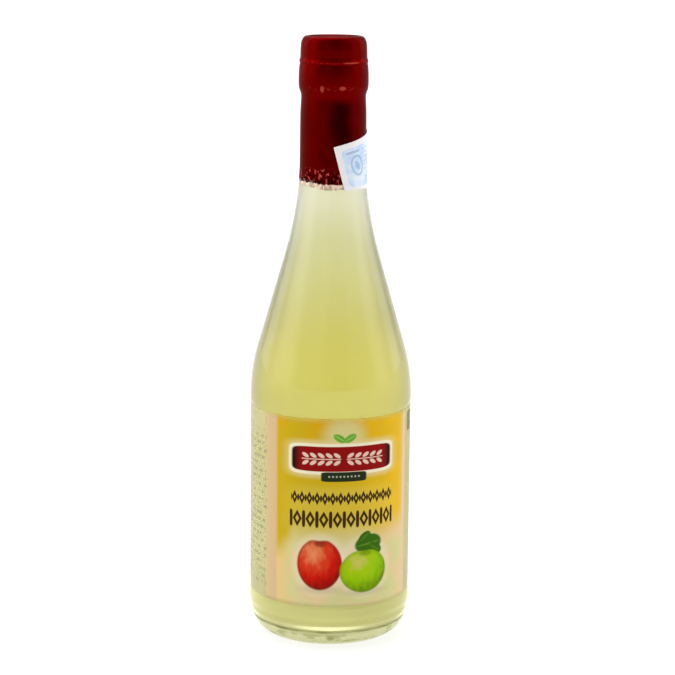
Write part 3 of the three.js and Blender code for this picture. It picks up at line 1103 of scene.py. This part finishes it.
def capsuleRadius(height):
    if height < capsule["edge"]:
        return max(glassRadius(bottle, height * mm) / mm, capsule["outline"][0][0])
    for (lowRadius, low), (highRadius, high) in zip(capsule["outline"], capsule["outline"][1:]):
        if height <= high:
            return lowRadius + (highRadius - lowRadius) * (height - low) / (high - low)
    return capsule["outline"][-1][0]


# the free corners stand off a little
def curl(s, along, down):
    toEdge = min(along, s["width"] - along) + min(down, s["height"] - down)
    wave = 0.05 * math.sin(along * 0.9 + 1) * math.sin(down * 0.7)
    return s["curlHeight"] * math.exp(-toEdge / s["curlReach"]) + wave + 0.06


# lower and upper layer of points, row by row
def stickerPoints(s):
    cos, sin = math.cos(s["tilt"]), math.sin(s["tilt"])
    points = []
    for lift in (s["lift"], s["lift"] + s["thickness"]):
        for row in range(s["rows"] + 1):
            for column in range(s["columns"] + 1):
                along = column / s["columns"] * s["width"]
                down = row / s["rows"] * s["height"]
                turn = s["turn"] + (along * cos + down * sin) / s["bend"]
                height = s["top"] + along * sin - down * (cos + s["level"] * along / s["width"])
                radius = capsuleRadius(height) + lift + curl(s, along, down)
                points.append(roundPoint(radius * mm, turn, height * mm))
    return points


def stickerFaces(columns, rows):
    layer = (columns + 1) * (rows + 1)

    # four corners of a face, each given as side, row and column
    def face(*corners):
        return tuple(side * layer + row * (columns + 1) + column for side, row, column in corners)

    faces = []
    for row in range(rows):
        for column in range(columns):
            right, below = column + 1, row + 1
            faces.append(face((1, below, column), (1, below, right), (1, row, right), (1, row, column)))
            faces.append(face((0, row, column), (0, row, right), (0, below, right), (0, below, column)))
    for column in range(columns):
        right = column + 1
        faces.append(face((1, 0, column), (1, 0, right), (0, 0, right), (0, 0, column)))
        faces.append(face((0, rows, column), (0, rows, right), (1, rows, right), (1, rows, column)))
    for row in range(rows):
        below = row + 1
        faces.append(face((0, row, 0), (0, below, 0), (1, below, 0), (1, row, 0)))
        faces.append(face((1, row, columns), (1, below, columns), (0, below, columns), (0, row, columns)))
    return faces


def makeSticker(s):
    columns, rows = s["columns"], s["rows"]
    piece = makeMesh("neckSticker", stickerPoints(s), stickerFaces(columns, rows))
    layer = (columns + 1) * (rows + 1)
    sheet = piece.data.uv_layers.new(name="sides")
    for loop in piece.data.loops:
        index = loop.vertex_index % layer
        sheet.data[loop.index].uv = (index % (columns + 1) / columns, 1 - index // (columns + 1) / rows)
    finishPiece(piece, "neck_sticker", "sticker_paper", stickerPaper(s))
    print("sticker ready")


def stickerPaper(s):
    paper = Finish("stickerPaper", Roughness=0.4, Specular_IOR_Level=0.3)
    across, up = paper.parts(paper.node("ShaderNodeUVMap", {"uv_map": "sides"}))[:2]
    x, y = across * s["width"], up * s["height"]
    fibre = paper.cloud(paper.place(), 700, 3)
    drift = paper.cloud(paper.place(), 150, 2)
    field = paper.blend(paper.rise(drift, 0.5, 0.3), *s["blues"])
    field = paper.blend(fibre * 0.3, field, s["fibreBlue"])
    # a plain ring, a short bar and rows of dashes
    ring = paper.oval(x, y, s["emblem"], s["emblemOuter"], 0.2)
    ring = ring - paper.oval(x, y, s["emblem"], s["emblemInner"], 0.25)
    core = paper.oval(x, y, s["emblem"], s["emblemCore"], 0.4, 0.5)
    row = paper.cell(y, s["lineStart"], s["linePitch"])
    broken = paper.cloud(paper.joined(x * 0.6, (y - row) * 5.1), 1.0, 1)
    lines = paper.between(row, -s["lineHalf"], s["lineHalf"], 0.15) * paper.rise(broken, 0.48, 0.06)
    lines = lines * paper.between(x, *s["lineRun"], 0.2) * paper.between(y, *s["lineRows"], 0.2)
    marks = paper.most(ring, core, lines, paper.plate(x, y, *s["topBar"], 0.3))
    field = paper.blend(marks * 0.55, field, s["inkBlue"])
    inside = paper.plate(x, y, *s["field"], 0.05, 12)
    paper.feed("Base Color", paper.blend(inside, paper.blend(fibre, *s["borders"]), field))
    paper.feed("Roughness", 0.36 + fibre * 0.12)
    paper.bumped(fibre, 0.1, 0.05 * mm)
    return paper


makeCamera(camera)
makeStudio(studio)
makeGlass(bottle)
makeVinegar(vinegar, bottle)
makeCapsule(capsule)
makeLabel(label)
makeSticker(sticker)
